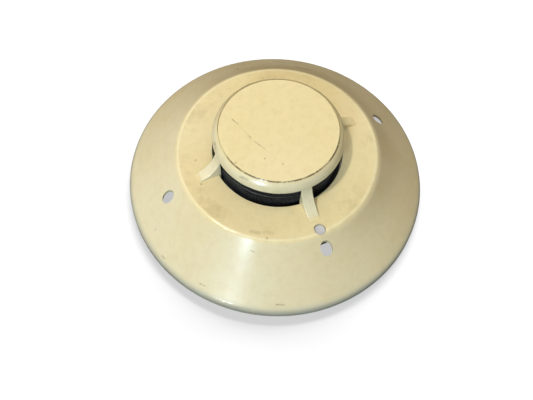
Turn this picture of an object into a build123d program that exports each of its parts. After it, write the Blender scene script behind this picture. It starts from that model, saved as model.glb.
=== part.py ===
"""Plug-in ceiling smoke detector: a mounting base, a twist-lock photoelectric head and a one-piece cover.

Millimetres, +Z away from the ceiling. The origin is the centre of the mounting plane, z = 0.
"""

from build123d import *
from math import atan, cos, radians, sin, tan
import os

os.makedirs("parts", exist_ok=True)

# ---------------------------------------------------------------- cover outline
rim_radius = 78.0
lip_radius = 77.8
lip_height = 4.2
lip_rounding = 4.0
cover_wall = 1.4
plateau_radius = 50.4
plateau_height = 27.9
plateau_rounding = 2.5
opening_radius = 32.7
opening_height = 28.4
opening_rounding = 0.4
collar_wall = 1.6
plateau_underside = 26.0
cone_angle = atan((plateau_height - lip_height) / (lip_radius - plateau_radius))

# ---------------------------------------------------------------- cap and ribs
cap_radius = 32.2
cap_underside = 40.7
cap_side_middle = (31.3, 43.8)
cap_top = 46.3
cap_ring_inner = 30.0
cap_plate_bottom = 42.0
cap_plate_top = 44.2
disc_pocket_radius = 29.25
disc_gap = 0.2
disc_crown = 0.2
disc_edge_rounding = 0.3
disc_peg_radius = 1.5
disc_peg_pitch = 20.0
rib_count = 4
rib_angle = 28.2
rib_width = 5.6
rib_inner = 31.6
rib_top = 42.3
rib_middle = (35.5, 32.8)
rib_foot = 44.6
rib_edge_rounding = 0.4

# ---------------------------------------------------------------- holes and bosses in the cover
cone_hole_radius = 3.05
# The drilled holes sit at slightly different radii: (radius, angle) of each.
cone_holes = [(59.2, rib_angle), (59.0, rib_angle + 180), (56.4, rib_angle + 270)]
button_angle = rib_angle + 270
button_pitch = 48.15
button_hole_radius = 2.85
pin_pitch = 43.0
pin_radius = 2.0
pin_top = 25.0
pin_boss_radius = 3.4
gusset_count = 8
gusset_thickness = 1.6
gusset_reach = 9.0
running_clearance = 0.05

# ---------------------------------------------------------------- mounting base
base_radius = 44.0
base_floor = 2.5
base_wall = 2.2
base_height = 9.9
cable_radius = 10.0
cable_collar_wall = 2.0
cable_collar_height = 5.0
slot_length = 9.0
slot_width = 4.2
slot_spacing_x = 70.0
slot_spacing_y = 60.0
bayonet_count = 3
bayonet_angle = 90.0
bayonet_half_width = 9.0
ledge_inner = 38.6
ledge_bottom = 8.0
twist_range = 20.0
stop_half_width = 1.2
stop_margin = 1.2
terminal_count = 4
terminal_angle = 45.0
terminal_pitch = 28.0
terminal_pad_radial = 12.0
terminal_pad_tangential = 18.0
terminal_pad_top = 4.0
clip_width = 8.0
clip_thickness = 0.6
screw_offset = 5.6
screw_shank_radius = 1.7
screw_head_radius = 2.8
screw_head_height = 1.8
screw_bottom = 0.8
clamp_side = 6.6
clamp_thickness = 0.8

# ---------------------------------------------------------------- head housing
skirt_inner = 36.2
skirt_outer = 38.2
skirt_bottom = 5.6
tab_outer = 40.6
tab_top = 7.6
housing_floor_bottom = 8.6
housing_floor_top = 10.4
housing_radius = 46.0
housing_wall = 2.0
housing_deck = 12.2
board_bottom = 14.5
board_thickness = 1.6
board_top = board_bottom + board_thickness
board_radius = 45.2
ear_width = 10.0
board_ear_end = 51.2
pad_bottom = 7.95
pad_size = (6.0, 9.0)
post_radius = 1.2
post_top = board_top + 0.5

# ---------------------------------------------------------------- deck over the circuit board
deck_bottom = 20.0
deck_top = 21.5
deck_inner = 30.2
deck_radius = 45.4
deck_ear_end = 52.3
leg_radius = 3.0
leg_pitch = 39.0
leg_angles = [rib_angle, rib_angle + 120, rib_angle + 240]
deck_screw_radius = 1.4
deck_screw_head_radius = 2.6
deck_screw_head_height = 1.6
deck_screw_bottom = 11.0

# ---------------------------------------------------------------- optical chamber
chamber_radius = 29.6
chamber_base_bottom = 17.2
chamber_base_top = 19.0
cradle_width = 9.0
cradle_length = 9.0
cradle_top = 28.0
optics_height = 23.6
optics_pitch = 14.0
optics_radius = 2.5
lead_pitch = 19.6
emitter_angle = 180.0
detector_angle = 40.0
vane_count = 20
vane_pitch = 24.6
vane_length = 8.5
vane_thickness = 1.1
vane_turn = 38.0
vane_hook = 3.0
labyrinth_bottom = 19.2
labyrinth_plate_bottom = 38.4
labyrinth_top = 39.8
labyrinth_radius = 29.8
screen_inner = 30.5
screen_outer = 31.1
screen_bottom = 22.3
screen_top = 40.4
screen_lip_inner = 28.0
seal_radii = (30.4, 32.2)

# ---------------------------------------------------------------- test button
button_radius = 2.75
button_top = 26.6
button_flange_radius = 3.6
button_flange_bottom = 19.0
button_flange_top = 19.9
switch_side = 4.5
switch_height = 1.9
plunger_radius = 1.6
plunger_bottom = 17.9
plunger_well_depth = 1.0


def polar(radius, angle):
    """A point in the XY plane, its angle in degrees from +X."""
    return (radius * cos(radians(angle)), radius * sin(radians(angle)))


def turned(radius, angle):
    """A location out along an angle, with its own +X pointing outwards."""
    x, y = polar(radius, angle)
    return Location((x, y, 0), (0, 0, angle))


def save(part, label):
    """Labels a finished piece and writes its STEP file."""
    part.label = label
    export_step(part, f"parts/{label}.step")


# ================================================================ cover
# The cone's inner face runs parallel to the outer one, a wall's thickness inside it.
inner_shift_r = cover_wall * sin(cone_angle)
inner_shift_z = cover_wall * cos(cone_angle)
inner_top_radius = plateau_radius - inner_shift_r + (
    (plateau_height - inner_shift_z - plateau_underside) / tan(cone_angle)
)
inner_lip_radius = lip_radius - cover_wall
inner_lip_height = plateau_underside - (inner_lip_radius - inner_top_radius) * tan(cone_angle)

with BuildPart() as rib:
    with BuildSketch(Plane.XZ):
        with BuildLine():
            inner_side = Polyline(
                (rib_foot, plateau_underside + 1),
                (opening_radius + 1, plateau_underside + 1),
                (opening_radius + 1, deck_top + 3),
                (rib_inner, deck_top + 3),
                (rib_inner, cap_plate_bottom),
                (rib_inner + 0.1, rib_top),
            )
            foot = Line(inner_side @ 0, (rib_foot, plateau_height))
            ThreePointArc(inner_side @ 1, rib_middle, foot @ 1)
        make_face()
    extrude(amount=rib_width / 2, both=True)
    fillet(rib.edges().filter_by(GeomType.CIRCLE), radius=rib_edge_rounding)

with BuildPart() as gusset:
    with BuildSketch(Plane.XZ):
        Polygon(
            (inner_lip_radius + 0.5, 1.5),
            (inner_lip_radius + 0.5, inner_lip_height),
            (
                inner_lip_radius - gusset_reach,
                inner_lip_height + gusset_reach * tan(cone_angle) + 0.5,
            ),
            (
                inner_lip_radius - gusset_reach,
                inner_lip_height + gusset_reach * tan(cone_angle) - 1.5,
            ),
            align=None,
        )
    extrude(amount=gusset_thickness / 2, both=True)

with BuildPart() as cover:
    # Skirt, cone, plateau and the collar round the smoke opening.
    with BuildSketch(Plane.XZ):
        with BuildLine():
            FilletPolyline(
                (rim_radius, 0),
                (lip_radius, lip_height),
                (plateau_radius, plateau_height),
                (opening_radius, opening_height),
                (opening_radius, deck_top),
                radius=[lip_rounding, plateau_rounding, opening_rounding],
            )
            Polyline(
                (opening_radius, deck_top),
                (opening_radius + collar_wall, deck_top),
                (opening_radius + collar_wall, plateau_underside),
                (inner_top_radius, plateau_underside),
                (inner_lip_radius, inner_lip_height),
                (inner_lip_radius, 0),
                (rim_radius, 0),
            )
        make_face()
    revolve(axis=Axis.Z)
    # Cap: a ring with a bulging side round a pocket for the disc, closed by a plate.
    with BuildSketch(Plane.XZ):
        with BuildLine():
            ThreePointArc(
                (cap_radius, cap_underside),
                cap_side_middle,
                (disc_pocket_radius, cap_top),
            )
            Polyline(
                (disc_pocket_radius, cap_top),
                (disc_pocket_radius, cap_plate_top),
                (0, cap_plate_top),
                (0, cap_plate_bottom),
                (cap_ring_inner, cap_plate_bottom),
                (cap_ring_inner, cap_underside),
                (cap_radius, cap_underside),
            )
        make_face()
    revolve(axis=Axis.Z)
    with PolarLocations(0, rib_count, start_angle=rib_angle):
        add(rib.part)
    with PolarLocations(0, gusset_count, start_angle=360 / gusset_count / 2):
        add(gusset.part)
    # Bosses that press onto the deck's pins.
    with BuildSketch(Plane.XY.offset(deck_top)):
        with PolarLocations(pin_pitch, rib_count, start_angle=rib_angle + 45):
            Circle(pin_boss_radius)
    extrude(until=Until.NEXT)
    with BuildSketch(Plane.XY.offset(deck_top)):
        with PolarLocations(pin_pitch, rib_count, start_angle=rib_angle + 45):
            Circle(pin_radius + running_clearance)
    extrude(amount=pin_top + 0.5 - deck_top, mode=Mode.SUBTRACT)
    # Three holes straight down through the cone, and the button's hole at a rib's foot.
    with BuildSketch(Plane.XY.offset(lip_height)):
        with Locations([polar(*place) for place in cone_holes]):
            Circle(cone_hole_radius)
    extrude(amount=plateau_height, mode=Mode.SUBTRACT)
    with BuildSketch(Plane.XY.offset(deck_top)):
        with Locations(polar(button_pitch, button_angle)):
            Circle(button_hole_radius)
    extrude(amount=plateau_height, mode=Mode.SUBTRACT)
    with BuildSketch(Plane.XY.offset(cap_plate_bottom)):
        with PolarLocations(disc_peg_pitch, 3):
            Circle(disc_peg_radius + running_clearance)
    extrude(amount=cap_plate_top - cap_plate_bottom, mode=Mode.SUBTRACT)
save(cover.part, "cover")

with BuildPart() as cap_disc:
    disc_radius = disc_pocket_radius - disc_gap
    with BuildSketch(Plane.XZ):
        with BuildLine():
            Polyline(
                (0, cap_top + disc_crown),
                (0, cap_plate_top),
                (disc_radius, cap_plate_top),
                (disc_radius, cap_top - disc_edge_rounding),
                (disc_radius - disc_edge_rounding, cap_top),
            )
            # Tangent at the axis, so the crown is part of a sphere.
            TangentArc(
                (0, cap_top + disc_crown),
                (disc_radius - disc_edge_rounding, cap_top),
                tangent=(1, 0),
            )
        make_face()
    revolve(axis=Axis.Z)
    with BuildSketch(Plane.XY.offset(cap_plate_bottom)):
        with PolarLocations(disc_peg_pitch, 3):
            Circle(disc_peg_radius)
    extrude(amount=cap_plate_top - cap_plate_bottom)
save(cap_disc.part, "cap_disc")

# ================================================================ mounting base
terminal_places = [turned(terminal_pitch, terminal_angle + 90 * k) for k in range(terminal_count)]
bayonet_places = [bayonet_angle + 120 * k for k in range(bayonet_count)]


def ring_sector(inner, outer, start, end):
    """A flat piece of ring between two angles in degrees, as a sketch."""
    middle = (start + end) / 2
    with BuildSketch() as sector:
        with BuildLine():
            Line(polar(inner, start), polar(outer, start))
            ThreePointArc(polar(outer, start), polar(outer, middle), polar(outer, end))
            Line(polar(outer, end), polar(inner, end))
            ThreePointArc(polar(inner, end), polar(inner, middle), polar(inner, start))
        make_face()
    return sector.sketch


with BuildPart() as mounting_base:
    with BuildSketch(Plane.XZ):
        Polygon(
            (0, 0),
            (base_radius, 0),
            (base_radius, base_height),
            (base_radius - base_wall, base_height),
            (base_radius - base_wall, base_floor),
            (cable_radius + cable_collar_wall, base_floor),
            (cable_radius + cable_collar_wall, cable_collar_height),
            (0, cable_collar_height),
            align=None,
        )
    revolve(axis=Axis.Z)
    with BuildSketch():
        Circle(cable_radius)
    extrude(amount=cable_collar_height, mode=Mode.SUBTRACT)
    # Bayonet ledges, each with a stop at both ends of the head's turn.
    for centre in bayonet_places:
        with BuildSketch(Plane.XY.offset(ledge_bottom)):
            add(
                ring_sector(
                    ledge_inner,
                    base_radius - base_wall / 2,
                    centre - bayonet_half_width - stop_margin,
                    centre + bayonet_half_width,
                )
            )
        extrude(amount=base_height - ledge_bottom)
        near_stop = centre - bayonet_half_width - stop_margin - stop_half_width
        far_stop = centre + bayonet_half_width + twist_range + stop_margin + stop_half_width
        for stop in (near_stop, far_stop):
            with BuildSketch(Plane.XY.offset(base_floor)):
                add(
                    ring_sector(
                        ledge_inner + 0.4,
                        base_radius - base_wall / 2,
                        stop - stop_half_width,
                        stop + stop_half_width,
                    )
                )
            extrude(amount=base_height - base_floor)
    # Pads that lift the terminals off the floor.
    with BuildSketch(Plane.XY.offset(base_floor)):
        with Locations(terminal_places):
            RectangleRounded(terminal_pad_radial, terminal_pad_tangential, 1.5)
    extrude(amount=terminal_pad_top - base_floor)
    with BuildSketch(Plane.XY.offset(screw_bottom)):
        with Locations(terminal_places):
            with Locations((0, -screw_offset)):
                Circle(screw_shank_radius + running_clearance)
    extrude(amount=terminal_pad_top, mode=Mode.SUBTRACT)
    # Slots for the screws into the ceiling box.
    with BuildSketch():
        with Locations((slot_spacing_x / 2, 0), (-slot_spacing_x / 2, 0)):
            SlotOverall(slot_length, slot_width)
        with Locations((0, slot_spacing_y / 2), (0, -slot_spacing_y / 2)):
            SlotOverall(slot_length, slot_width, rotation=90)
    extrude(amount=base_floor, mode=Mode.SUBTRACT)
save(mounting_base.part, "mounting_base")

clip_top = terminal_pad_top + clip_thickness

with BuildPart() as terminal_clip:
    # A strip folded back over itself into a leaf that presses on the head's contact.
    with BuildSketch(Plane.YZ):
        with BuildLine():
            Polyline(
                (-8.2, terminal_pad_top),
                (8.2, terminal_pad_top),
                (8.8, 4.5),
                (8.8, 5.2),
                (0.4, 7.8),
                (-0.4, 7.8),
                (-2.2, 7.2),
                (-2.2, 6.7),
                (0.0, 7.3),
                (8.1, 4.85),
                (8.1, clip_top),
                (-8.2, clip_top),
                close=True,
            )
        make_face()
    extrude(amount=clip_width / 2, both=True)
    with BuildSketch(Plane.XY.offset(terminal_pad_top)):
        with Locations((0, -screw_offset)):
            Circle(screw_shank_radius + running_clearance)
    extrude(amount=clip_thickness, mode=Mode.SUBTRACT)

with BuildPart() as terminal_clips:
    with Locations(terminal_places):
        add(terminal_clip.part)
save(terminal_clips.part, "terminal_clips")

with BuildPart() as clamp_plates:
    with BuildSketch(Plane.XY.offset(clip_top)):
        with Locations(terminal_places):
            with Locations((0, -screw_offset)):
                RectangleRounded(clamp_side, clamp_side, 0.6)
                Circle(screw_shank_radius + running_clearance, mode=Mode.SUBTRACT)
    extrude(amount=clamp_thickness)
    chamfer(clamp_plates.edges().filter_by(GeomType.LINE).group_by(Axis.Z)[-1], 0.15)
save(clamp_plates.part, "clamp_plates")

with BuildPart() as terminal_screw:
    head_bottom = clip_top + clamp_thickness
    with BuildSketch(Plane.XY.offset(screw_bottom)):
        Circle(screw_shank_radius)
    extrude(amount=head_bottom - screw_bottom)
    with BuildSketch(Plane.XY.offset(head_bottom)):
        Circle(screw_head_radius)
    extrude(amount=screw_head_height)
    fillet(terminal_screw.edges().filter_by(GeomType.CIRCLE).sort_by(Axis.Z)[-1], 0.6)
    with BuildSketch(Plane.XY.offset(head_bottom + screw_head_height)):
        Rectangle(2 * screw_head_radius + 1, 0.8)
        Rectangle(0.8, 3.2)
    extrude(amount=-0.9, mode=Mode.SUBTRACT)

with BuildPart() as terminal_screws:
    with Locations(terminal_places):
        with Locations((0, -screw_offset)):
            add(terminal_screw.part)
save(terminal_screws.part, "terminal_screws")

# ================================================================ head housing
leg_places = [polar(leg_pitch, angle) for angle in leg_angles]

with BuildPart() as rear_housing:
    with BuildSketch(Plane.XZ):
        Polygon(
            (0, housing_floor_bottom),
            (skirt_inner, housing_floor_bottom),
            (skirt_inner, skirt_bottom),
            (skirt_outer, skirt_bottom),
            (skirt_outer, housing_floor_top),
            (housing_radius, housing_floor_top),
            (housing_radius, board_bottom),
            (housing_radius - housing_wall, board_bottom),
            (housing_radius - housing_wall, housing_deck),
            (skirt_inner + 0.2, housing_deck),
            (skirt_inner + 0.2, housing_floor_top),
            (0, housing_floor_top),
            align=None,
        )
    revolve(axis=Axis.Z)
    # Bayonet tabs, resting under the base's ledges.
    with BuildSketch(Plane.XY.offset(skirt_bottom)):
        for centre in bayonet_places:
            add(
                ring_sector(
                    skirt_outer - 0.5,
                    tab_outer,
                    centre - bayonet_half_width,
                    centre + bayonet_half_width,
                )
            )
    extrude(amount=tab_top - skirt_bottom)
    # Bosses under the board for the three long screws.
    with BuildSketch(Plane.XY.offset(housing_floor_top)):
        with Locations(leg_places):
            Circle(leg_radius)
    extrude(amount=board_bottom - housing_floor_top)
    with BuildSketch(Plane.XY.offset(deck_screw_bottom)):
        with Locations(leg_places):
            Circle(deck_screw_radius + running_clearance)
    extrude(amount=board_bottom, mode=Mode.SUBTRACT)
    with BuildSketch(Plane.XY.offset(housing_floor_bottom)):
        with Locations(terminal_places):
            Circle(post_radius + running_clearance)
    extrude(amount=board_bottom, mode=Mode.SUBTRACT)
save(rear_housing.part, "rear_housing")

with BuildPart() as contact_pads:
    with BuildSketch(Plane.XY.offset(pad_bottom)):
        with Locations(terminal_places):
            RectangleRounded(pad_size[0], pad_size[1], 1.0)
    extrude(amount=housing_floor_bottom - pad_bottom)
    chamfer(contact_pads.faces().sort_by(Axis.Z)[:terminal_count].edges(), 0.2)
save(contact_pads.part, "contact_pads")

with BuildPart() as contact_posts:
    with BuildSketch(Plane.XY.offset(housing_floor_bottom)):
        with Locations(terminal_places):
            Circle(post_radius)
    extrude(amount=post_top - housing_floor_bottom)
    chamfer(contact_posts.faces().sort_by(Axis.Z)[-terminal_count:].edges(), 0.3)
save(contact_posts.part, "contact_posts")


def ear(start, end):
    """The tongue that carries the test button's guide or switch, as a sketch."""
    with BuildSketch() as tongue:
        with Locations(turned((start + end) / 2, button_angle)):
            RectangleRounded(end - start, ear_width, 1.5)
    return tongue.sketch


lead_spots = [polar(lead_pitch, angle) for angle in (emitter_angle, detector_angle)]

with BuildPart() as circuit_board:
    with BuildSketch(Plane.XY.offset(board_bottom)):
        Circle(board_radius)
        add(ear(board_radius - 8, board_ear_end))
        with Locations(leg_places):
            Circle(deck_screw_radius + running_clearance, mode=Mode.SUBTRACT)
        with Locations(terminal_places):
            Circle(post_radius + running_clearance, mode=Mode.SUBTRACT)
        with Locations(lead_spots):
            Circle(0.45, mode=Mode.SUBTRACT)
    extrude(amount=board_thickness)
save(circuit_board.part, "circuit_board")

# ================================================================ parts on the circuit board
component_pitch = 37.0

with BuildPart() as controller_ic:
    ic_place = turned(component_pitch, rib_angle - 35)
    with BuildSketch(Plane.XY.offset(board_top + 0.2)):
        with Locations(ic_place):
            Rectangle(7.5, 10.3)
    extrude(amount=1.8)
    chamfer(controller_ic.edges().group_by(Axis.Z)[-1], 0.25)
    with BuildSketch(Plane.XY.offset(board_top)):
        with Locations(ic_place):
            with GridLocations(8.9, 1.27, 2, 8):
                Rectangle(2.0, 0.45)
    extrude(amount=0.6)
save(controller_ic.part, "controller_ic")

with BuildPart() as electrolytic_capacitors:
    can_places = [turned(component_pitch, rib_angle + angle) for angle in (75, 88)]
    with BuildSketch(Plane.XY.offset(board_top)):
        with Locations(can_places):
            RectangleRounded(6.6, 6.6, 0.8)
    extrude(amount=0.8)
    with BuildSketch(Plane.XY.offset(board_top + 0.8)):
        with Locations(can_places):
            Circle(3.1)
    extrude(amount=2.8)
    fillet(
        electrolytic_capacitors.edges().filter_by(GeomType.CIRCLE).group_by(Axis.Z)[-1], 0.35
    )
save(electrolytic_capacitors.part, "electrolytic_capacitors")

with BuildPart() as chip_resistors:
    with BuildSketch(Plane.XY.offset(board_top)):
        with Locations([turned(34.0, rib_angle + 138 + 7 * k) for k in range(12)]):
            Rectangle(3.2, 1.6)
    extrude(amount=0.6)
save(chip_resistors.part, "chip_resistors")

with BuildPart() as chip_capacitors:
    with BuildSketch(Plane.XY.offset(board_top)):
        with Locations([turned(41.6, rib_angle + 150 + 9 * k) for k in range(8)]):
            Rectangle(2.0, 1.25)
    extrude(amount=1.0)
save(chip_capacitors.part, "chip_capacitors")

with BuildPart() as bridge_rectifier:
    bridge_place = turned(component_pitch, rib_angle + 42)
    with BuildSketch(Plane.XY.offset(board_top + 0.15)):
        with Locations(bridge_place):
            Rectangle(4.4, 6.2)
    extrude(amount=2.4)
    chamfer(bridge_rectifier.edges().group_by(Axis.Z)[-1], 0.3)
    with BuildSketch(Plane.XY.offset(board_top)):
        with Locations(bridge_place):
            with GridLocations(5.4, 3.6, 2, 2):
                Rectangle(1.8, 0.8)
    extrude(amount=0.5)
save(bridge_rectifier.part, "bridge_rectifier")

with BuildPart() as reed_switch:
    reed_place = Plane(turned(component_pitch, rib_angle - 65))
    reed_axis_height = board_top + 1.7
    reed_middle = reed_place.from_local_coords((0, 0, reed_axis_height))
    with BuildSketch(Plane(origin=reed_middle, z_dir=reed_place.y_dir)):
        Circle(1.2)
    extrude(amount=6.0, both=True)
    fillet(reed_switch.edges().filter_by(GeomType.CIRCLE), 0.8)
    with BuildSketch(Plane(origin=reed_middle, z_dir=reed_place.y_dir)):
        Circle(0.3)
    extrude(amount=7.4, both=True)
    with BuildSketch(Plane.XY.offset(board_top)):
        with Locations(Location(reed_place)):
            with Locations((0, 7.0), (0, -7.0)):
                Circle(0.26)
    extrude(amount=1.8)
save(reed_switch.part, "reed_switch")

with BuildPart() as status_led:
    with BuildSketch(Plane.XY.offset(board_top)):
        with Locations(turned(44.0, button_angle)):
            Rectangle(1.6, 3.0)
    extrude(amount=0.5)
    with BuildSketch(Plane.XY.offset(board_top + 0.5)):
        with Locations(turned(44.0, button_angle)):
            RectangleRounded(1.3, 2.0, 0.3)
    extrude(amount=0.6)
save(status_led.part, "status_led")

with BuildPart() as test_switch:
    with BuildSketch(Plane.XY.offset(board_top)):
        with Locations(turned(button_pitch, button_angle)):
            RectangleRounded(switch_side, switch_side, 0.4)
    extrude(amount=switch_height)
    with BuildSketch(Plane.XY.offset(board_top + switch_height)):
        with Locations(turned(button_pitch, button_angle)):
            Circle(plunger_radius + 2 * running_clearance)
    extrude(amount=-plunger_well_depth, mode=Mode.SUBTRACT)
save(test_switch.part, "test_switch")

# ================================================================ test button and what it presses
with BuildPart() as switch_plunger:
    with BuildSketch(Plane.XY.offset(plunger_bottom)):
        with Locations(polar(button_pitch, button_angle)):
            Circle(plunger_radius)
    extrude(amount=button_flange_bottom - plunger_bottom)
save(switch_plunger.part, "switch_plunger")

with BuildPart() as test_button:
    with BuildSketch(Plane.XY.offset(button_flange_bottom)):
        with Locations(polar(button_pitch, button_angle)):
            Circle(button_flange_radius)
    extrude(amount=button_flange_top - button_flange_bottom)
    with BuildSketch(Plane.XY.offset(button_flange_top)):
        with Locations(polar(button_pitch, button_angle)):
            Circle(button_radius)
    extrude(amount=button_top - button_flange_top)
    fillet(test_button.edges().filter_by(GeomType.CIRCLE).sort_by(Axis.Z)[-1], 0.35)
save(test_button.part, "test_button")

# ================================================================ deck and its screws
with BuildPart() as deck_plate:
    with BuildSketch(Plane.XY.offset(deck_bottom)):
        Circle(deck_radius)
        add(ear(deck_radius - 8, deck_ear_end))
        Circle(deck_inner, mode=Mode.SUBTRACT)
    extrude(amount=deck_top - deck_bottom)
    with BuildSketch(Plane.XY.offset(board_top)):
        with Locations(leg_places):
            Circle(leg_radius)
    extrude(amount=deck_bottom - board_top)
    with BuildSketch(Plane.XY.offset(board_top)):
        with Locations(leg_places):
            Circle(deck_screw_radius + running_clearance)
        with Locations(polar(button_pitch, button_angle)):
            Circle(button_hole_radius)
    extrude(amount=deck_top - board_top, mode=Mode.SUBTRACT)
    with BuildSketch(Plane.XY.offset(deck_top)):
        with PolarLocations(pin_pitch, rib_count, start_angle=rib_angle + 45):
            Circle(pin_radius)
    extrude(amount=pin_top - deck_top)
    chamfer(deck_plate.faces().sort_by(Axis.Z)[-rib_count:].edges(), 0.4)
save(deck_plate.part, "deck_plate")

with BuildPart() as deck_screws:
    with BuildSketch(Plane.XY.offset(deck_screw_bottom)):
        with Locations(leg_places):
            Circle(deck_screw_radius)
    extrude(amount=deck_top - deck_screw_bottom)
    with BuildSketch(Plane.XY.offset(deck_top)):
        with Locations(leg_places):
            Circle(deck_screw_head_radius)
    extrude(amount=deck_screw_head_height)
    fillet(deck_screws.edges().filter_by(GeomType.CIRCLE).group_by(Axis.Z)[-1], 0.5)
    with BuildSketch(Plane.XY.offset(deck_top + deck_screw_head_height)):
        with Locations(leg_places):
            Rectangle(3.0, 0.7)
            Rectangle(0.7, 3.0)
    extrude(amount=-1.0, mode=Mode.SUBTRACT)
save(deck_screws.part, "deck_screws")

# ================================================================ optical chamber
optics_angles = {"ir_emitter": emitter_angle, "photodiode": detector_angle}


def optics_plane(angle, out):
    """A plane square to the line of sight, facing the middle of the chamber."""
    x, y = polar(out, angle)
    return Plane(origin=(x, y, optics_height), z_dir=(-cos(radians(angle)), -sin(radians(angle)), 0))


with BuildPart() as chamber_base:
    with BuildSketch(Plane.XY.offset(chamber_base_bottom)):
        Circle(chamber_radius)
    extrude(amount=chamber_base_top - chamber_base_bottom)
    with BuildSketch(Plane.XY.offset(board_top)):
        with PolarLocations(20.0, 3, start_angle=rib_angle + 60):
            Circle(2.2)
    extrude(amount=chamber_base_bottom - board_top)
    with BuildSketch(Plane.XY.offset(chamber_base_top)):
        with Locations([turned(optics_pitch - 1.0, angle) for angle in optics_angles.values()]):
            RectangleRounded(cradle_length, cradle_width, 0.8)
    extrude(amount=cradle_top - chamber_base_top)
    for angle in optics_angles.values():
        with BuildSketch(optics_plane(angle, optics_pitch + 8.0)):
            Circle(optics_radius + running_clearance)
        extrude(amount=15.0, mode=Mode.SUBTRACT)
    with BuildSketch(Plane.XY.offset(chamber_base_bottom)):
        with Locations(lead_spots):
            Circle(0.6)
    extrude(amount=optics_height, mode=Mode.SUBTRACT)
save(chamber_base.part, "chamber_base")


def bulb(angle, length, dome):
    """A domed plastic capsule in its cradle, with one lead bent down to the board."""
    with BuildPart() as capsule:
        with BuildSketch(optics_plane(angle, optics_pitch + 3.0)):
            Circle(optics_radius)
        extrude(amount=length)
        front = capsule.edges().filter_by(GeomType.CIRCLE).sort_by(
            lambda edge: edge.center().X ** 2 + edge.center().Y ** 2
        )[0]
        fillet(front, dome)
        with BuildSketch(optics_plane(angle, lead_pitch + 0.5)):
            Circle(0.42)
        extrude(amount=lead_pitch - optics_pitch - 2.0)
        with BuildSketch(Plane.XY.offset(board_bottom)):
            with Locations(polar(lead_pitch, angle)):
                Circle(0.38)
        extrude(amount=optics_height + 0.1 - board_bottom)
    return capsule.part


save(bulb(emitter_angle, 7.6, 2.2), "ir_emitter")
save(bulb(detector_angle, 6.0, 1.2), "photodiode")

with BuildPart() as shield_can:
    # A folded tinplate hood over the photodiode's cradle, open towards the chamber.
    hood = (cradle_length + 1.6, cradle_width + 1.6)
    hood_place = turned(optics_pitch - 1.0, detector_angle)
    with BuildSketch(Plane.XY.offset(chamber_base_top)):
        with Locations(hood_place):
            Rectangle(*hood)
            Rectangle(hood[0] - 0.8, hood[1] - 0.8, mode=Mode.SUBTRACT)
    extrude(amount=cradle_top + 0.4 - chamber_base_top)
    with BuildSketch(Plane.XY.offset(cradle_top + 0.4)):
        with Locations(hood_place):
            Rectangle(*hood)
    extrude(amount=0.4)
    with BuildSketch(optics_plane(detector_angle, optics_pitch + 9.0)):
        Circle(optics_radius + 0.5)
    extrude(amount=17.0, mode=Mode.SUBTRACT)
save(shield_can.part, "shield_can")

with BuildPart() as labyrinth:
    # Hooked vanes let smoke in and keep light out.
    with BuildSketch(Plane.XY.offset(labyrinth_bottom)):
        with PolarLocations(vane_pitch, vane_count):
            with Locations(Location((0, 0, 0), (0, 0, vane_turn))):
                Rectangle(vane_length, vane_thickness)
                with Locations(((vane_length - vane_thickness) / 2, -vane_hook / 2)):
                    Rectangle(vane_thickness, vane_hook)
    extrude(amount=labyrinth_plate_bottom - labyrinth_bottom)
    with BuildSketch(Plane.XY.offset(labyrinth_plate_bottom)):
        Circle(labyrinth_radius)
    extrude(amount=labyrinth_top - labyrinth_plate_bottom)
save(labyrinth.part, "labyrinth")

with BuildPart() as insect_screen:
    with BuildSketch(Plane.XZ):
        Polygon(
            (screen_inner, screen_bottom),
            (screen_outer, screen_bottom),
            (screen_outer, screen_top),
            (screen_lip_inner, screen_top),
            (screen_lip_inner, labyrinth_top),
            (screen_inner, labyrinth_top),
            align=None,
        )
    revolve(axis=Axis.Z)
save(insect_screen.part, "insect_screen")

with BuildPart() as dust_seal:
    with BuildSketch(Plane.XY.offset(deck_top)):
        Circle(seal_radii[1])
        Circle(seal_radii[0], mode=Mode.SUBTRACT)
    extrude(amount=screen_bottom - deck_top)
save(dust_seal.part, "dust_seal")
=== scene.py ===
"""Looks for a ceiling smoke detector: aged ivory plastic, a black woven insect screen and a real inside.

Everything is in metres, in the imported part's frame.
z = 0 is the mounting plane, and +Z runs out through the cap.
"""

import math

import bmesh
import bpy
from mathutils import Matrix, Vector


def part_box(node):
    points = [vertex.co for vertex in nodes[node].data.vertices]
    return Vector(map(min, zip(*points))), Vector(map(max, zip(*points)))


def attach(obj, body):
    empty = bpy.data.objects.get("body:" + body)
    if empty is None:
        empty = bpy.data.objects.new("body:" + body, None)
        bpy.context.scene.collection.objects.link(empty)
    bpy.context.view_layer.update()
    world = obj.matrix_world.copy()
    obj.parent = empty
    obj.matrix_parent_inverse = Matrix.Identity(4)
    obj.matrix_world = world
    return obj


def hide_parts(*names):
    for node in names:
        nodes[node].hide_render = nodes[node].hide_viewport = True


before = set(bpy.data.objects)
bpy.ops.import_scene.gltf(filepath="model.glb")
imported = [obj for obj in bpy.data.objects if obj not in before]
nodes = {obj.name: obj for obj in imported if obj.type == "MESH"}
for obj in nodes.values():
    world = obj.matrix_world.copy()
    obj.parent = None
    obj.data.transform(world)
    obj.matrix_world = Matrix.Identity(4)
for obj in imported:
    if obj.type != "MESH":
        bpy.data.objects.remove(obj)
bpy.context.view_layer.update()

MM = 0.001


# ---------------------------------------------------------------- sizes read from the frame
def radius_of(node):
    """Half of a round node's width."""
    low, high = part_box(node)
    return (high.x - low.x) / 2


disc_radius = radius_of("cap_disc")
screen_low, screen_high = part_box("insect_screen")
screen_radius = radius_of("insect_screen")
board_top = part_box("circuit_board")[1].z

# ---------------------------------------------------------------- places on the object, in its own frame
plateau_low = 27.6 * MM
plateau_high = 28.7 * MM
plateau_radius = 49.4 * MM
opening_radius = 32.7 * MM
rib_angle = 28.2


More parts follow.
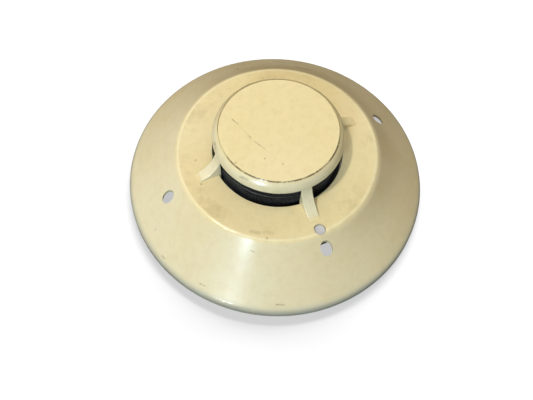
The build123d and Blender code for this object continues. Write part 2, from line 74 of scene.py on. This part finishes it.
def linear(red, green, blue):
    """An sRGB colour, 0 to 255, as the linear colour that Blender's sockets take."""
    def channel(value):
        value /= 255
        return value / 12.92 if value <= 0.04045 else ((value + 0.055) / 1.055) ** 2.4

    return (channel(red), channel(green), channel(blue), 1.0)


def polar(radius, angle, height=0.0):
    """A point at a radius and an angle in degrees from +X."""
    turn = math.radians(angle)
    return Vector((radius * math.cos(turn), radius * math.sin(turn), height))


# ---------------------------------------------------------------- materials
class Finish:
    """A material and short helpers for its node graph. Texture scales are in features per metre."""

    def __init__(self, name):
        self.material = bpy.data.materials.new(name)
        self.material.use_nodes = True
        self.tree = self.material.node_tree
        self.shader = self.tree.nodes["Principled BSDF"]
        self.place = self.node("ShaderNodeTexCoord").outputs["Object"]

    def node(self, kind, **settings):
        """Adds a node with the given properties."""
        made = self.tree.nodes.new(kind)
        for key, value in settings.items():
            setattr(made, key, value)
        return made

    def feed(self, socket, value):
        """Links an output, or sets a plain number, colour or vector."""
        if isinstance(value, bpy.types.NodeSocket):
            self.tree.links.new(value, socket)
        else:
            socket.default_value = value

    def noise(self, scale, detail=3.0, roughness=0.5, distortion=0.0, place=None):
        """Cloudy noise from 0 to 1."""
        made = self.node("ShaderNodeTexNoise")
        self.feed(made.inputs["Vector"], place or self.place)
        made.inputs["Scale"].default_value = scale
        made.inputs["Detail"].default_value = detail
        made.inputs["Roughness"].default_value = roughness
        made.inputs["Distortion"].default_value = distortion
        return made.outputs["Fac"]

    def cells(self, scale, feature="F1", randomness=1.0, place=None, output="Distance"):
        """Scattered cells: by default, the distance to the nearest cell's point."""
        made = self.node("ShaderNodeTexVoronoi", feature=feature)
        self.feed(made.inputs["Vector"], place or self.place)
        made.inputs["Scale"].default_value = scale
        made.inputs["Randomness"].default_value = randomness
        return made.outputs[output]

    def stretched(self, x, y, z):
        """The object's coordinates scaled by a factor along each axis."""
        made = self.node("ShaderNodeMapping")
        self.feed(made.inputs["Vector"], self.place)
        made.inputs["Scale"].default_value = (x, y, z)
        return made.outputs["Vector"]

    def math(self, operation, first, second=0.5, clamp=False):
        """One step of arithmetic on numbers."""
        made = self.node("ShaderNodeMath", operation=operation, use_clamp=clamp)
        self.feed(made.inputs[0], first)
        self.feed(made.inputs[1], second)
        return made.outputs["Value"]

    def vector(self, operation, first, second=(0, 0, 0), output="Vector"):
        """One step of arithmetic on vectors."""
        made = self.node("ShaderNodeVectorMath", operation=operation)
        self.feed(made.inputs[0], first)
        if operation == "SCALE":
            self.feed(made.inputs["Scale"], second)
        elif operation not in ("LENGTH", "NORMALIZE"):
            self.feed(made.inputs[1], second)
        return made.outputs[output]

    def fade(self, value, low, high):
        """0 below low and 1 above high, smooth between; low above high turns it round."""
        flip = low > high
        made = self.node("ShaderNodeMapRange", interpolation_type="SMOOTHSTEP")
        self.feed(made.inputs["Value"], value)
        made.inputs["From Min"].default_value = min(low, high)
        made.inputs["From Max"].default_value = max(low, high)
        made.inputs["To Min"].default_value = 1.0 if flip else 0.0
        made.inputs["To Max"].default_value = 0.0 if flip else 1.0
        return made.outputs["Result"]

    def band(self, value, low, high, soft):
        """1 between low and high, fading out over soft on each side."""
        rise = self.fade(value, low - soft, low)
        fall = self.fade(value, high + soft, high)
        return self.math("MULTIPLY", rise, fall)

    def mix(self, share, first, second):
        """The first colour where share is 0 and the second where it is 1."""
        made = self.node("ShaderNodeMix", data_type="RGBA")
        self.feed(made.inputs["Factor"], share)
        self.feed(made.inputs["A"], first)
        self.feed(made.inputs["B"], second)
        return next(out for out in made.outputs if out.type == "RGBA")

    def range(self, value, low, high):
        """A 0 to 1 value spread between two numbers."""
        made = self.node("ShaderNodeMapRange")
        self.feed(made.inputs["Value"], value)
        made.inputs["To Min"].default_value = low
        made.inputs["To Max"].default_value = high
        return made.outputs["Result"]

    def position(self):
        """The height, the distance from the axis and the coordinates with the height left out."""
        parts = self.node("ShaderNodeSeparateXYZ")
        self.feed(parts.inputs["Vector"], self.place)
        flat = self.vector("MULTIPLY", self.place, (1, 1, 0))
        return parts.outputs["Z"], self.vector("LENGTH", flat, output="Value"), flat

    def spot(self, flat, x, y, radius, soft):
        """A round mark at x, y in millimetres, seen along the axis."""
        offset = self.vector("SUBTRACT", flat, (x * MM, y * MM, 0))
        distance = self.vector("LENGTH", offset, output="Value")
        return self.fade(distance, (radius + soft) * MM, radius * MM)

    def stroke(self, flat, start, end, width, soft):
        """A thin straight mark from start to end, in millimetres, seen along the axis."""
        first = Vector((*start, 0)) * MM
        along = Vector((*end, 0)) * MM - first
        offset = self.vector("SUBTRACT", flat, tuple(first))
        travel = self.vector("DOT_PRODUCT", offset, tuple(along), output="Value")
        share = self.math("MULTIPLY", travel, 1 / along.length_squared, clamp=True)
        foot = self.vector("SCALE", tuple(along), share)
        gap = self.vector("SUBTRACT", offset, foot)
        distance = self.vector("LENGTH", gap, output="Value")
        return self.fade(distance, (width + soft) * MM, width * MM)

    def strongest(self, masks):
        """The largest of several masks."""
        total = masks[0]
        for mask in masks[1:]:
            total = self.math("MAXIMUM", total, mask)
        return total

    def bump(self, height, distance, strength=1.0):
        """Adds relief on top of any relief already there."""
        made = self.node("ShaderNodeBump")
        made.inputs["Distance"].default_value = distance
        made.inputs["Strength"].default_value = strength
        self.feed(made.inputs["Height"], height)
        previous = self.shader.inputs["Normal"]
        if previous.is_linked:
            self.feed(made.inputs["Normal"], previous.links[0].from_socket)
        self.feed(previous, made.outputs["Normal"])

    def finish(self, colour, roughness, **plain):
        """Feeds the colour and roughness, and sets the rest as plain numbers on the shader."""
        self.feed(self.shader.inputs["Base Color"], colour)
        self.feed(self.shader.inputs["Roughness"], roughness)
        for key, value in plain.items():
            self.shader.inputs[key].default_value = value
        return self.material


# Marks, in millimetres: strokes as (start, end, half width, strength) and spots as (x, y, radius, strength).
STROKE_BLUR = 0.2
STROKE_BLUR_PER_WIDTH = 1.6
SPOT_BLUR = 0.3
DISC_STROKES = (
    ((-22.6, 3.0), (-20.0, 0.8), 0.10, 0.6),
    ((-20.0, 0.8), (-13.9, -5.7), 0.02, 0.22),
    ((-13.9, -5.6), (-12.8, -6.8), 0.09, 0.55),
    ((-10.9, -8.6), (-8.0, -10.7), 0.08, 0.48),
    ((-7.6, -10.9), (-5.6, -12.4), 0.05, 0.35),
    ((-6.6, -12.0), (-3.0, -14.6), 0.02, 0.16),
)
DISC_SPOTS = (
    (-18.8, -20.7, 0.32, 0.95),
    (-5.5, -17.3, 0.24, 0.75),
    (3.1, -19.5, 0.20, 0.6),
    (-15.6, -21.6, 0.2, 0.4),
)
COVER_STROKES = (
    ((-53.0, -53.6), (-51.4, -55.0), 0.1, 0.5),
    ((-32.4, -66.8), (-29.8, -67.8), 0.1, 0.45),
    ((5.2, -74.2), (9.0, -73.9), 0.12, 0.5),
    ((-24.4, 74.0), (-14.6, 76.4), 0.3, 0.6),
    ((7.6, 59.6), (14.4, 58.0), 0.6, 0.34),
    ((-6.0, 68.2), (0.6, 68.0), 0.3, 0.34),
    ((-9.6, -46.3), (-5.4, -46.9), 0.4, 0.25),
    ((-3.4, -46.2), (0.6, -46.3), 0.4, 0.22),
    ((-8.9, -54.2), (-6.9, -55.0), 0.08, 0.4),
    ((-16.2, -26.5), (-12.4, -28.3), 0.16, 0.35),
    ((-30.0, -8.9), (-29.0, -12.0), 0.2, 0.4),
)
COVER_SPOTS = (
    (-25.6, 57.3, 0.6, 0.9),
    (-39.9, -10.5, 0.45, 0.45),
    (-35.5, -23.5, 0.35, 0.55),
    (-1.7, -49.2, 0.4, 0.6),
    (-57.6, -41.5, 0.4, 0.25),
)


def ivory(name, strokes, spots):
    """Aged ivory plastic: uneven yellowing, brown film, painted shade and painted highlights, single marks
    and a faint moulded texture.
    """
    look = Finish(name)
    height, radius, flat = look.position()
    toward = {}
    for side, angle in (("back", 100), ("rear", 62), ("right", 45), ("front", 285), ("left", 230)):
        toward[side] = look.vector(
            "DOT_PRODUCT", look.vector("NORMALIZE", flat), tuple(polar(1, angle)), output="Value"
        )
    # One brown serves as dirt in the smears and specks, and as painted shade on the cap's back edge.
    grime_and_shade, soot = linear(138, 112, 70), linear(94, 72, 46)

    # Cone and rim in one tone, the level parts warmer, the ribs paler, and a painted highlight along the
    # sharp edges.
    clouds = look.fade(look.noise(20, detail=4, roughness=0.55), 0.32, 0.7)
    colour = look.mix(look.math("MULTIPLY", clouds, 0.6), linear(223, 210, 175), linear(219, 200, 154))
    level = look.mix(clouds, linear(231, 214, 169), linear(228, 210, 160))
    colour = look.mix(look.fade(height, 26.4 * MM, 27.8 * MM), colour, level)
    on_rib = look.band(height, 28.9 * MM, 40.4 * MM, 0.5 * MM)
    on_side = look.band(height, 40.9 * MM, 45.2 * MM, 0.5 * MM)
    pale_part = look.math("MAXIMUM", on_rib, look.math("MULTIPLY", on_side, 0.7))
    pale_part = look.math("MULTIPLY", pale_part, look.fade(toward["right"], 0.6, -0.2))
    colour = look.mix(look.math("MULTIPLY", pale_part, 0.75), colour, linear(227, 218, 187))
    # Painted highlight: broken pale lines on the plateau's rounded corner and the opening's edge.
    corner = look.band(radius, 49.4 * MM, 50.2 * MM, 0.3 * MM)
    corner = look.math("MULTIPLY", corner, look.fade(height, 25 * MM, 26.4 * MM))
    edge = look.band(radius, 32.5 * MM, 33.1 * MM, 0.2 * MM)
    edge = look.math("MULTIPLY", edge, look.band(height, 27.6 * MM, 28.6 * MM, 0.2 * MM))
    edge_highlight = look.math("MAXIMUM", corner, edge)
    edge_highlight = look.math("MULTIPLY", edge_highlight, look.range(look.noise(110, detail=4), 0.1, 0.7))
    colour = look.mix(edge_highlight, colour, linear(240, 230, 196))

    # A brownish film lies on the flat plateau, thicker on the left and in front.
    flat_part = look.band(radius, opening_radius + 0.9 * MM, plateau_radius, 0.5 * MM)
    on_plateau = look.math("MULTIPLY", flat_part, look.band(height, plateau_low, plateau_high, 0.15 * MM))
    streaks = look.range(look.noise(60, detail=6, roughness=0.65, distortion=0.4), 0.2, 1.6)
    wide = look.math("MULTIPLY", look.fade(toward["left"], -1.0, 0.9), 0.05)
    share = look.math("ADD", wide, look.math("MULTIPLY", look.fade(toward["left"], 0.6, 0.97), 0.2))
    film = look.math("MULTIPLY", look.math("MULTIPLY", on_plateau, share), streaks, clamp=True)
    colour = look.mix(film, colour, linear(190, 164, 112))
    smears = look.fade(look.noise(45, detail=5, roughness=0.7), 0.5, 0.68)
    outer = look.band(radius, 43 * MM, 48.4 * MM, 1.5 * MM)
    smears = look.math("MULTIPLY", look.math("MULTIPLY", outer, on_plateau), smears)
    colour = look.mix(look.math("MULTIPLY", smears, 0.22), colour, grime_and_shade)

    # Painted shade: the cone is browner behind, away from the light, and darker at the foot of the plateau's
    # side, most on the right.
    rear = look.math("MULTIPLY", look.fade(toward["rear"], -0.35, 0.8), look.fade(height, 27 * MM, 25.5 * MM))
    rear = look.math("MULTIPLY", rear, look.range(look.noise(36, detail=4, roughness=0.55), 0.0, 0.3))
    colour = look.mix(rear, colour, linear(150, 122, 80))
    foot = look.fade(radius, 67 * MM, 53 * MM)
    foot = look.math("MULTIPLY", foot, look.fade(height, 27 * MM, 25.5 * MM))
    foot = look.math("MULTIPLY", foot, look.fade(toward["right"], -0.6, 0.6))
    foot = look.math("MULTIPLY", foot, look.range(look.noise(48, detail=5, roughness=0.6), 0.12, 0.48))
    colour = look.mix(foot, colour, linear(146, 119, 72))

    # Painted shade: the rim's lip is greyer and its bottom edge darker, and the cap's edge is browner at the
    # back.
    lip_shade = look.math("MULTIPLY", look.fade(height, 7 * MM, 3.4 * MM), look.fade(radius, 72.5 * MM, 76 * MM))
    colour = look.mix(look.math("MULTIPLY", lip_shade, 0.65), colour, linear(160, 161, 152))
    # Painted shadow along the bottom of the rim, where it meets the floor.
    contact_shade = look.math("MULTIPLY", look.fade(height, 2.4 * MM, 0.6 * MM), look.fade(radius, 76 * MM, 77.2 * MM))
    colour = look.mix(look.math("MULTIPLY", contact_shade, 0.12), colour, linear(98, 92, 78))
    # Painted shade on the back of the cap's rounded edge.
    shoulder_shade = look.fade(radius, disc_radius + 0.1 * MM, disc_radius + 0.4 * MM)
    shoulder_shade = look.math("MULTIPLY", shoulder_shade, look.fade(height, 43 * MM, 44.4 * MM))
    shoulder_shade = look.math("MULTIPLY", shoulder_shade, look.fade(toward["back"], 0.0, 0.8))
    colour = look.mix(look.math("MULTIPLY", shoulder_shade, 0.3), colour, grime_and_shade)

    # Dirt packed in the seam round the disc, all along the front.
    seam = look.band(radius, disc_radius - 0.2 * MM, disc_radius + 0.35 * MM, 0.2 * MM)
    seam = look.math("MULTIPLY", seam, look.fade(height, 45 * MM, 45.5 * MM))
    seam = look.math("MULTIPLY", seam, look.fade(toward["front"], 0.2, 0.55))
    seam = look.math("MULTIPLY", seam, look.fade(look.noise(420, detail=4, roughness=0.7), 0.36, 0.52))
    colour = look.mix(look.math("MULTIPLY", seam, 0.8), colour, soot)

    # Fine mottling, sparse specks, then the single marks.
    mottle = look.fade(look.noise(260, detail=4, roughness=0.7), 0.4, 0.72)
    colour = look.mix(look.math("MULTIPLY", mottle, 0.16), colour, linear(196, 170, 118))
    dot = look.fade(look.cells(260), 0.085, 0.03)
    chosen = look.node("ShaderNodeSeparateXYZ")
    look.feed(chosen.inputs["Vector"], look.cells(260, output="Color"))
    specks = look.math("MULTIPLY", dot, look.fade(chosen.outputs["X"], 0.94, 0.95))
    colour = look.mix(look.math("MULTIPLY", specks, 0.45), colour, grime_and_shade)
    marks = []
    for start, end, width, strength in strokes:
        line = look.stroke(flat, start, end, width, STROKE_BLUR + STROKE_BLUR_PER_WIDTH * width)
        marks.append(look.math("MULTIPLY", line, strength))
    for x, y, size, strength in spots:
        marks.append(look.math("MULTIPLY", look.spot(flat, x, y, size, SPOT_BLUR), strength))
    torn = look.fade(look.noise(700, detail=4, roughness=0.75), 0.3, 0.6)
    marked = look.math("MULTIPLY", look.strongest(marks), torn, clamp=True)
    colour = look.mix(marked, colour, soot)

    gloss = look.range(look.noise(90, detail=5, roughness=0.65), 0.13, 0.27)
    look.bump(marked, -0.00006, 0.6)
    look.bump(look.noise(1500, detail=2), 0.000018, 0.5)
    look.bump(look.noise(160, detail=3), 0.00006, 0.35)
    return look.finish(colour, gloss, **{"IOR": 1.5, "Subsurface Weight": 0.04, "Subsurface Scale": 0.002})


def moulded(name, base, accent, low, high, grain=1800, relief=0.00002):
    """Plain moulded plastic: two close tones, fine grain and a little dust."""
    look = Finish(name)
    tone = look.fade(look.noise(90, detail=5, roughness=0.6), 0.35, 0.7)
    colour = look.mix(tone, base, accent)
    dust = look.fade(look.noise(420, detail=6, roughness=0.8), 0.6, 0.74)
    colour = look.mix(look.math("MULTIPLY", dust, 0.16), colour, linear(150, 140, 118))
    look.bump(look.noise(grain, detail=3), relief, 0.6)
    gloss = look.range(look.noise(130, detail=4), low, high)
    return look.finish(colour, gloss)


def metal(name, base, accent, low, high, brushed=(30, 900, 900)):
    """Plated or stamped metal with fine drawn lines and slight tarnish."""
    look = Finish(name)
    tarnish = look.fade(look.noise(240, detail=6, roughness=0.7), 0.45, 0.75)
    colour = look.mix(tarnish, base, accent)
    lines = look.noise(3.0, detail=4, place=look.stretched(*brushed))
    look.bump(lines, 0.00002, 0.5)
    return look.finish(colour, look.range(lines, low, high), Metallic=1.0)


def laminate(name):
    """Circuit board: solder mask over branching tracks, with tinned pads showing here and there."""
    look = Finish(name)
    mask, track = linear(24, 92, 52), linear(42, 128, 74)
    cells = look.cells(210, feature="DISTANCE_TO_EDGE", randomness=0.55)
    tracks = look.fade(cells, 0.10, 0.06)
    colour = look.mix(tracks, mask, track)
    height, radius, _ = look.position()
    pads = look.fade(look.cells(330, randomness=0.3), 0.17, 0.13)
    colour = look.mix(look.math("MULTIPLY", pads, 0.85), colour, linear(196, 190, 172))
    edge = look.band(height, 14.7 * MM, 15.9 * MM, 0.1 * MM)
    rim = look.math("MULTIPLY", edge, look.fade(radius, 44.9 * MM, 45.1 * MM))
    colour = look.mix(rim, colour, linear(172, 168, 120))
    look.bump(tracks, 0.00004, 0.6)
    return look.finish(colour, look.range(look.noise(300), 0.28, 0.4))


def clear(name, tint, weight, roughness):
    """Clear or frosted plastic or glass, with faint flow lines."""
    look = Finish(name)
    colour = look.mix(look.noise(400, detail=3), tint, tuple(min(1.0, 1.08 * c) for c in tint))
    look.bump(look.noise(700), 0.00002, 0.4)
    gloss = look.range(look.noise(200), roughness, roughness + 0.1)
    return look.finish(colour, gloss, **{"Transmission Weight": weight, "IOR": 1.5})


def foam(name):
    """Open grey-black foam."""
    look = Finish(name)
    pores = look.cells(2600)
    colour = look.mix(look.fade(pores, 0.2, 0.7), linear(20, 20, 22), linear(66, 64, 62))
    look.bump(pores, 0.0002, 0.8)
    return look.finish(colour, look.range(pores, 0.85, 0.98))


base_plastic = moulded("base_plastic", linear(222, 214, 186), linear(208, 196, 160), 0.34, 0.5)
black_plastic = moulded("black_plastic", linear(26, 26, 28), linear(38, 37, 37), 0.42, 0.6)
tinned = metal("tinned", linear(206, 205, 198), linear(150, 146, 132), 0.2, 0.38)
bronze = metal("bronze", linear(200, 160, 96), linear(140, 98, 56), 0.2, 0.4)
chip_epoxy = moulded("chip_epoxy", linear(34, 34, 36), linear(46, 45, 44), 0.45, 0.65)

FINISHES = {
    "cover": ivory("ivory_cover", COVER_STROKES, COVER_SPOTS),
    "cap_disc": ivory("ivory_disc", DISC_STROKES, DISC_SPOTS),
    "mounting_base": base_plastic,
    "rear_housing": base_plastic,
    "deck_plate": base_plastic,
    "chamber_base": black_plastic,
    "labyrinth": black_plastic,
    "dust_seal": foam("seal_foam"),
    "terminal_clips": bronze,
    "contact_pads": bronze,
    "contact_posts": tinned,
    "clamp_plates": tinned,
    "terminal_screws": tinned,
    "deck_screws": tinned,
    "shield_can": metal("tinplate", linear(190, 192, 194), linear(150, 150, 150), 0.16, 0.3),
    "circuit_board": laminate("board_laminate"),
    "controller_ic": chip_epoxy,
    "bridge_rectifier": chip_epoxy,
    "chip_resistors": chip_epoxy,
    "test_switch": chip_epoxy,
    "chip_capacitors": moulded("chip_ceramic", linear(176, 144, 100), linear(150, 118, 80), 0.4, 0.6),
    "electrolytic_capacitors": metal(
        "capacitor_can", linear(214, 215, 217), linear(180, 181, 184), 0.18, 0.3
    ),
    "reed_switch": clear("reed_glass", linear(206, 222, 214), 0.85, 0.04),
    "status_led": clear("led_lens", linear(196, 60, 44), 0.4, 0.15),
    "ir_emitter": clear("infrared_epoxy", linear(46, 40, 66), 0.3, 0.1),
    "test_button": moulded("button_plastic", linear(200, 199, 204), linear(188, 186, 192), 0.3, 0.42),
    "switch_plunger": moulded("plunger_plastic", linear(176, 50, 36), linear(150, 40, 30), 0.4, 0.5),
}
FINISHES["photodiode"] = FINISHES["ir_emitter"]


def dress(piece, material):
    """Gives every face of a piece one material."""
    piece.data.materials.clear()
    piece.data.materials.append(material)


for node_name, material in FINISHES.items():
    dress(nodes[node_name], material)


# ---------------------------------------------------------------- pieces made here
def new_piece(name, mesh_maker, material, body, smooth=True):
    """Builds a mesh with bmesh, gives it its material and hangs it on a body."""
    mesh = bpy.data.meshes.new(name)
    work = bmesh.new()
    mesh_maker(work)
    bmesh.ops.recalc_face_normals(work, faces=work.faces)
    work.to_mesh(mesh)
    work.free()
    piece = bpy.data.objects.new(name, mesh)
    bpy.context.scene.collection.objects.link(piece)
    for face in mesh.polygons:
        face.use_smooth = smooth
    dress(piece, material)
    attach(piece, body)
    return piece


def revolved(work, profile, steps=160):
    """A closed profile of (radius, height) points turned about the axis."""
    rings = []
    for step in range(steps):
        angle = 360 * step / steps
        rings.append([work.verts.new(polar(radius, angle, height)) for radius, height in profile])
    count = len(profile)
    for step in range(steps):
        here, there = rings[step], rings[(step + 1) % steps]
        for k in range(count):
            work.faces.new((here[k], here[(k + 1) % count], there[(k + 1) % count], there[k]))


def rounded_band(outer, wall, low, high, rounding):
    """The profile of a hoop with its outer edges rounded."""
    inner = outer - wall
    profile = [(inner, low), (inner, high)]
    for k in range(5):
        turn = math.radians(90 - 22.5 * k)
        profile.append((outer - rounding * (1 - math.cos(turn)), high - rounding * (1 - math.sin(turn))))
    for k in range(5):
        turn = math.radians(22.5 * k)
        profile.append((outer - rounding * (1 - math.cos(turn)), low + rounding * (1 - math.sin(turn))))
    return profile


screen_black = moulded("screen_black", linear(29, 29, 30), linear(44, 43, 43), 0.38, 0.55)
cloth_columns = 210
cloth_rows = 19
wire = 0.26 * MM
cloth_radius = screen_radius - 0.55 * MM
cloth_low = screen_low.z + 1.2 * MM
cloth_high = screen_high.z - 1.2 * MM


def cloth_mesh(work):
    """The cloth's grid of cells, one quad each; a wireframe modifier turns its edges into wires."""
    rings = []
    for row in range(cloth_rows + 1):
        height = cloth_low + (cloth_high - cloth_low) * row / cloth_rows
        rings.append(
            [
                work.verts.new(
                    polar(
                        cloth_radius + (0.06 * MM if (row + column) % 2 else -0.06 * MM),
                        360 * column / cloth_columns,
                        height,
                    )
                )
                for column in range(cloth_columns)
            ]
        )
    for row in range(cloth_rows):
        for column in range(cloth_columns):
            after = (column + 1) % cloth_columns
            work.faces.new(
                (rings[row][column], rings[row][after], rings[row + 1][after], rings[row + 1][column])
            )


def screen_frame_mesh(work):
    """The moulded hoops and bars that hold the cloth, and the flat ring on top."""
    hoops = (
        (screen_low.z, screen_low.z + 1.6 * MM, 1.0 * MM),
        (screen_high.z - 1.7 * MM, screen_high.z, 1.0 * MM),
        (screen_low.z + 11.9 * MM, screen_low.z + 12.6 * MM, 0.8 * MM),
    )
    for low, high, wall in hoops:
        revolved(work, rounded_band(screen_radius, wall, low, high, 0.25 * MM))
    ring_inner, ring_outer = 28.2 * MM, screen_radius - 0.9 * MM
    ring_low, ring_high = screen_high.z - 0.6 * MM, screen_high.z
    ring = [(ring_inner, ring_low), (ring_inner, ring_high), (ring_outer, ring_high), (ring_outer, ring_low)]
    revolved(work, ring)
    bars = 4
    for bar in range(bars):
        angle = rib_angle + 360 * bar / bars
        half = math.degrees(0.55 * MM / screen_radius)
        corners = []
        for height in (screen_low.z + 1.2 * MM, screen_high.z - 1.2 * MM):
            for reach, side in ((0.95, -1), (0.15, -1), (0.15, 1), (0.95, 1)):
                corners.append(work.verts.new(polar(screen_radius - reach * MM, angle + side * half, height)))
        for face in ((0, 1, 2, 3), (7, 6, 5, 4), (0, 4, 5, 1), (1, 5, 6, 2), (2, 6, 7, 3), (3, 7, 4, 0)):
            work.faces.new([corners[k] for k in face])


screen_cloth = new_piece("screen_cloth", cloth_mesh, screen_black, "head")
wires = screen_cloth.modifiers.new("wires", "WIREFRAME")
wires.thickness = wire
wires.use_replace = True
wires.use_even_offset = False
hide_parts("insect_screen")
screen_frame = new_piece("screen_frame", screen_frame_mesh, screen_black, "head", smooth=False)
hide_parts("insect_screen")


def solder_mesh(work):
    """A small fillet of solder round each post and lead on the board."""
    post_circle, post_fillet = 28 * MM, 2.1 * MM
    lead_circle, lead_fillet = 19.6 * MM, 0.9 * MM
    fillet_height = 0.5 * MM
    steps, sides = 4, 12
    fillets = [(polar(post_circle, 45 + 90 * k), post_fillet) for k in range(4)]
    fillets += [(polar(lead_circle, angle), lead_fillet) for angle in (180, 40)]
    for spot, size in fillets:
        rings = []
        for step in range(steps + 1):
            share = step / steps
            radius = size * (1 - 0.55 * share ** 0.5)
            height = board_top + fillet_height * share
            rings.append(
                [work.verts.new(spot + polar(radius, 360 / sides * k, height)) for k in range(sides)]
            )
        for low, high in zip(rings, rings[1:]):
            for k in range(sides):
                after = (k + 1) % sides
                work.faces.new((low[k], low[after], high[after], high[k]))
        work.faces.new(rings[0][::-1])
        work.faces.new(rings[-1])


new_piece("solder_joints", solder_mesh, tinned, "head")

# ---------------------------------------------------------------- camera, at the photograph's viewing angle
view_elevation = math.radians(60.65)
view_roll = math.radians(-4.35)
view_pan = math.radians(0.67)
view_tilt = math.radians(2.36)
view_distance = 326.6 * MM
image_width = 533
focal_pixels = 600

camera_data = bpy.data.cameras.new("camera")
camera_data.sensor_width = 36
camera_data.lens = camera_data.sensor_width * focal_pixels / image_width
camera_data.clip_start = 0.01
camera = bpy.data.objects.new("camera", camera_data)
bpy.context.scene.collection.objects.link(camera)
bpy.context.scene.camera = camera

back = Vector((0, -math.cos(view_elevation), math.sin(view_elevation)))
right = Vector((1, 0, 0))
up = back.cross(right)
forward = -back
right, forward = (
    right * math.cos(view_pan) + forward * math.sin(view_pan),
    forward * math.cos(view_pan) - right * math.sin(view_pan),
)
up, forward = (
    up * math.cos(view_tilt) + forward * math.sin(view_tilt),
    forward * math.cos(view_tilt) - up * math.sin(view_tilt),
)
right, up = (
    right * math.cos(view_roll) - up * math.sin(view_roll),
    up * math.cos(view_roll) + right * math.sin(view_roll),
)
turn = Matrix((right, up, -forward)).transposed().to_4x4()
camera.matrix_world = Matrix.Translation(back * view_distance) @ turn

# ---------------------------------------------------------------- floor and light
floor_finish = Finish("floor")
floor_colour = floor_finish.mix(floor_finish.noise(4), (0.08, 0.08, 0.081, 1), (0.086, 0.086, 0.086, 1))
floor_finish.finish(
    floor_colour,
    0.6,
    **{"Emission Color": (1, 1, 1, 1), "Emission Strength": 0.54, "Specular IOR Level": 0.1},
)
floor_mesh = bpy.data.meshes.new("floor")
floor_half = 3.0
floor_gap = 0.2 * MM
floor_corners = [(floor_half * x, floor_half * y, 0) for x, y in ((-1, -1), (1, -1), (1, 1), (-1, 1))]
floor_mesh.from_pydata(floor_corners, [], [(0, 1, 2, 3)])
floor = bpy.data.objects.new("floor", floor_mesh)
floor.location.z = -floor_gap

# The floor glows and is lit on its own account, so it neither lights the object nor shows in its gloss.
floor.visible_diffuse = False
floor.visible_glossy = False
bpy.context.scene.collection.objects.link(floor)
dress(floor, floor_finish.material)

world = bpy.data.worlds.new("studio")
world.use_nodes = True
sky = world.node_tree
sky.nodes["Background"].inputs["Color"].default_value = (1.0, 0.97, 0.92, 1)
sky.nodes["Background"].inputs["Strength"].default_value = 0.07
bpy.context.scene.world = world
bpy.context.scene.view_settings.view_transform = "Standard"


def panel(name, azimuth, elevation, distance, side, power, colour, mirrored=True):
    """A soft square light that faces the object from a compass direction, in degrees from +X."""
    light = bpy.data.lights.new(name, "AREA")
    light.size = side
    light.energy = power
    light.color = colour
    lamp = bpy.data.objects.new(name, light)
    flat = math.cos(math.radians(elevation))
    outward = polar(flat, azimuth, math.sin(math.radians(elevation)))
    lamp.location = outward * distance
    lamp.rotation_euler = outward.to_track_quat("Z", "Y").to_euler()
    lamp.visible_glossy = mirrored
    bpy.context.scene.collection.objects.link(lamp)
    return lamp


# The key, the window and the sill show as highlights; the others only fill. The sill gives nothing else.
panel("key", 206, 67, 1.4, 0.09, 7.7, (1.0, 0.95, 0.87))
panel("window", 250, 34, 1.6, 0.13, 5.2, (0.55, 0.80, 1.0))
panel("sill", 249, 13, 1.6, 0.15, 20.0, (0.84, 0.94, 1.0)).visible_diffuse = False
panel("low_window", 244, 20, 1.5, 0.8, 7.2, (0.78, 0.91, 1.0), mirrored=False)
panel("front", 285, 30, 1.5, 0.8, 4.5, (0.72, 0.88, 1.0), mirrored=False)
panel("overhead", 0, 89.9, 1.5, 1.0, 5.9, (1.0, 0.97, 0.87), mirrored=False)
panel("left_back", 150, 28, 1.5, 0.8, 4.4, (1.0, 0.94, 0.80), mirrored=False)
panel("right_side", 15, 30, 1.5, 0.8, 1.5, (1.0, 0.90, 0.66), mirrored=False)
panel("behind", 90, 40, 1.5, 0.8, 5.0, (1.0, 0.94, 0.78), mirrored=False)

# One lamp lights the floor alone, from behind, for the soft shadow in front of the object.
floor_lamp = panel("floor_lamp", 86, 40, 1.5, 1.3, 212.0, (1.0, 1.0, 1.0), mirrored=False)
floor_lamp.data.shape = "RECTANGLE"
floor_lamp.data.size_y = 0.28
floor_only = bpy.data.collections.new("floor_only")
floor_only.objects.link(floor)
floor_lamp.light_linking.receiver_collection = floor_only
